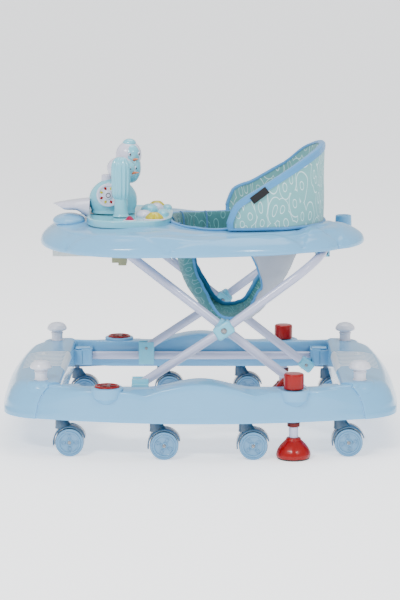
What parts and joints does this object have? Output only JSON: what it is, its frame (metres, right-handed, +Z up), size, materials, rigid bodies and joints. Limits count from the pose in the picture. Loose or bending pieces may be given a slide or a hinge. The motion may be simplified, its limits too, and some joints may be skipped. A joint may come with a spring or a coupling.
{
  "type": "baby walker",
  "caption": "Folding baby walker: castor base ring with push-down stoppers, scissor frame, lobed toy tray and wrap-round fabric seat with a leg sling.",
  "frame": {"origin": "on the floor under the centre of the base ring", "axes": "+X towards the backrest (rear), -X towards the toys (front), +Y across to the far side, +Z up"},
  "size_m": [0.722, 0.5788, 0.5455],
  "materials": {
    "blue_plastic": "glossy moulded, fine orange peel",
    "aqua_plastic": "satin moulded",
    "white_plastic": "satin moulded",
    "frosted_plastic": "frosted, slightly translucent",
    "red_plastic": "glossy moulded",
    "slate_plastic": "satin moulded",
    "wheel_plastic": "satin moulded",
    "painted_tube": "gloss powder coat",
    "khaki_plastic": "matt moulded",
    "yellow_plastic": "glossy moulded",
    "pink_plastic": "glossy moulded",
    "mint_fabric": "woven polyester with a printed line pattern",
    "binding_fabric": "woven tape",
    "lining_fabric": "woven lining",
    "bright_steel": "polished rivets and screws",
    "black_rubber": "matt rubber"
  },
  "bodies": {
    "base": {"base_side_near": "blue_plastic", "rail_near": "painted_tube", "front_cap_near": "red_plastic", "base_side_far": "blue_plastic", "rail_far": "painted_tube", "front_cap_far": "red_plastic", "base_end_front": "blue_plastic", "end_panel_front": "frosted_plastic", "base_end_rear": "blue_plastic", "end_panel_rear": "frosted_plastic"},
    "knob_front_near": {"corner_knob_front_near": "white_plastic"},
    "knob_front_far": {"corner_knob_front_far": "white_plastic"},
    "knob_rear_near": {"corner_knob_rear_near": "white_plastic"},
    "knob_rear_far": {"corner_knob_rear_far": "white_plastic"},
    "stopper_near": {"stop_knob_near": "red_plastic", "stop_shaft_near": "painted_tube", "stop_foot_near": "red_plastic"},
    "stopper_far": {"stop_knob_far": "red_plastic", "stop_shaft_far": "painted_tube", "stop_foot_far": "red_plastic"},
    "castor_1_near": {"castor_1_near": "slate_plastic"},
    "wheels_1_near": {"wheels_1_near": "wheel_plastic"},
    "castor_2_near": {"castor_2_near": "slate_plastic"},
    "wheels_2_near": {"wheels_2_near": "wheel_plastic"},
    "castor_3_near": {"castor_3_near": "slate_plastic"},
    "wheels_3_near": {"wheels_3_near": "wheel_plastic"},
    "castor_4_near": {"castor_4_near": "slate_plastic"},
    "wheels_4_near": {"wheels_4_near": "wheel_plastic"},
    "castor_1_far": {"castor_1_far": "slate_plastic"},
    "wheels_1_far": {"wheels_1_far": "wheel_plastic"},
    "castor_2_far": {"castor_2_far": "slate_plastic"},
    "wheels_2_far": {"wheels_2_far": "wheel_plastic"},
    "castor_3_far": {"castor_3_far": "slate_plastic"},
    "wheels_3_far": {"wheels_3_far": "wheel_plastic"},
    "castor_4_far": {"castor_4_far": "slate_plastic"},
    "wheels_4_far": {"wheels_4_far": "wheel_plastic"},
    "tube_a": {"frame_tube_a": "painted_tube", "cross_bracket_a_near": "aqua_plastic", "foot_bracket_near": "aqua_plastic", "cross_bracket_a_far": "aqua_plastic", "foot_bracket_far": "aqua_plastic"},
    "tube_b": {"frame_tube_b": "painted_tube", "cross_bracket_b_near": "aqua_plastic", "cross_bracket_b_far": "aqua_plastic"},
    "sliders": {"slider_near": "aqua_plastic", "slider_far": "aqua_plastic"},
    "tray": {"tray_shell": "blue_plastic", "crossbar_guide": "white_plastic", "hinge_cradle": "aqua_plastic", "toy_plate": "aqua_plastic", "toy_tower": "aqua_plastic", "toy_birds": "white_plastic", "toy_fin": "white_plastic", "seat_backrest": "mint_fabric", "seat_sling": "mint_fabric"},
    "latch": {"height_latch": "khaki_plastic"},
    "dial": {"toy_dial": "white_plastic"},
    "pink_button": {"pink_button": "pink_plastic"},
    "flower_near": {"flower_near": "yellow_plastic"},
    "flower_far": {"flower_far": "yellow_plastic"}
  },
  "joints": [
    {"name": "knob_front_near_press", "type": "slide", "parent": "base", "child": "knob_front_near", "axis": [0, 0, -1], "range_m": [0, 0.012]},
    {"name": "knob_front_far_press", "type": "slide", "parent": "base", "child": "knob_front_far", "axis": [0, 0, -1], "range_m": [0, 0.012]},
    {"name": "knob_rear_near_press", "type": "slide", "parent": "base", "child": "knob_rear_near", "axis": [0, 0, -1], "range_m": [0, 0.012]},
    {"name": "knob_rear_far_press", "type": "slide", "parent": "base", "child": "knob_rear_far", "axis": [0, 0, -1], "range_m": [0, 0.012]},
    {"name": "stopper_near_lift", "type": "slide", "parent": "base", "child": "stopper_near", "axis": [0, 0, 1], "range_m": [0, 0.02]},
    {"name": "stopper_far_lift", "type": "slide", "parent": "base", "child": "stopper_far", "axis": [0, 0, 1], "range_m": [0, 0.02]},
    {"name": "castor_1_near_swivel", "type": "hinge", "parent": "base", "child": "castor_1_near", "pos_m": [-0.247, -0.2337, 0.06], "axis": [0, 0, 1], "continuous": true},
    {"name": "wheels_1_near_roll", "type": "hinge", "parent": "castor_1_near", "child": "wheels_1_near", "pos_m": [-0.232, -0.2337, 0.0254], "axis": [0, 1, 0], "continuous": true},
    {"name": "castor_2_near_swivel", "type": "hinge", "parent": "base", "child": "castor_2_near", "pos_m": [-0.0785, -0.2602, 0.06], "axis": [0, 0, 1], "continuous": true},
    {"name": "wheels_2_near_roll", "type": "hinge", "parent": "castor_2_near", "child": "wheels_2_near", "pos_m": [-0.0635, -0.2602, 0.0254], "axis": [0, 1, 0], "continuous": true},
    {"name": "castor_3_near_swivel", "type": "hinge", "parent": "base", "child": "castor_3_near", "pos_m": [0.0785, -0.2602, 0.06], "axis": [0, 0, 1], "continuous": true},
    {"name": "wheels_3_near_roll", "type": "hinge", "parent": "castor_3_near", "child": "wheels_3_near", "pos_m": [0.0935, -0.2602, 0.0254], "axis": [0, 1, 0], "continuous": true},
    {"name": "castor_4_near_swivel", "type": "hinge", "parent": "base", "child": "castor_4_near", "pos_m": [0.248, -0.2337, 0.06], "axis": [0, 0, 1], "continuous": true},
    {"name": "wheels_4_near_roll", "type": "hinge", "parent": "castor_4_near", "child": "wheels_4_near", "pos_m": [0.263, -0.2337, 0.0254], "axis": [0, 1, 0], "continuous": true},
    {"name": "castor_1_far_swivel", "type": "hinge", "parent": "base", "child": "castor_1_far", "pos_m": [-0.247, 0.2337, 0.06], "axis": [0, 0, 1], "continuous": true},
    {"name": "wheels_1_far_roll", "type": "hinge", "parent": "castor_1_far", "child": "wheels_1_far", "pos_m": [-0.232, 0.2337, 0.0254], "axis": [0, 1, 0], "continuous": true},
    {"name": "castor_2_far_swivel", "type": "hinge", "parent": "base", "child": "castor_2_far", "pos_m": [-0.0785, 0.2602, 0.06], "axis": [0, 0, 1], "continuous": true},
    {"name": "wheels_2_far_roll", "type": "hinge", "parent": "castor_2_far", "child": "wheels_2_far", "pos_m": [-0.0635, 0.2602, 0.0254], "axis": [0, 1, 0], "continuous": true},
    {"name": "castor_3_far_swivel", "type": "hinge", "parent": "base", "child": "castor_3_far", "pos_m": [0.0785, 0.2602, 0.06], "axis": [0, 0, 1], "continuous": true},
    {"name": "wheels_3_far_roll", "type": "hinge", "parent": "castor_3_far", "child": "wheels_3_far", "pos_m": [0.0935, 0.2602, 0.0254], "axis": [0, 1, 0], "continuous": true},
    {"name": "castor_4_far_swivel", "type": "hinge", "parent": "base", "child": "castor_4_far", "pos_m": [0.248, 0.2337, 0.06], "axis": [0, 0, 1], "continuous": true},
    {"name": "wheels_4_far_roll", "type": "hinge", "parent": "castor_4_far", "child": "wheels_4_far", "pos_m": [0.263, 0.2337, 0.0254], "axis": [0, 1, 0], "continuous": true},
    {"name": "fold", "type": "hinge", "parent": "base", "child": "tube_a", "pos_m": [0.206, 0, 0.0894], "axis": [0, -1, 0], "range_deg": [0, 23.5]},
    {"name": "scissor_cross", "type": "hinge", "parent": "tube_a", "child": "tube_b", "pos_m": [0.04209, 0, 0.21746], "axis": [0, -1, 0], "range_deg": [-50, 0]},
    {"name": "slider_level", "type": "hinge", "parent": "tube_b", "child": "sliders", "pos_m": [-0.10752, 0, 0.11918], "axis": [0, -1, 0], "range_deg": [0, 26.5]},
    {"name": "tray_level", "type": "hinge", "parent": "tube_b", "child": "tray", "pos_m": [0.222, 0, 0.352], "axis": [0, -1, 0], "range_deg": [0, 26.5]},
    {"name": "latch_pull", "type": "slide", "parent": "tray", "child": "latch", "axis": [-1, 0, 0], "range_m": [0, 0.005], "stiffness_N_per_m": 300},
    {"name": "dial_spin", "type": "hinge", "parent": "tray", "child": "dial", "pos_m": [-0.17, -0.04, 0.444], "axis": [0, 1, 0], "continuous": true},
    {"name": "pink_button_press", "type": "slide", "parent": "tray", "child": "pink_button", "axis": [0, 0, -1], "range_m": [0, 0.003], "stiffness_N_per_m": 250},
    {"name": "flower_near_press", "type": "slide", "parent": "tray", "child": "flower_near", "axis": [0, 0, -1], "range_m": [0, 0.003], "stiffness_N_per_m": 250},
    {"name": "flower_far_press", "type": "slide", "parent": "tray", "child": "flower_far", "axis": [0, 0, -1], "range_m": [0, 0.003], "stiffness_N_per_m": 250}
  ],
  "couplings": [
    {"joint": "scissor_cross", "follows": "fold", "ratio": -2.12},
    {"joint": "slider_level", "follows": "fold", "ratio": 1.12},
    {"joint": "tray_level", "follows": "fold", "ratio": 1.12}
  ]
}
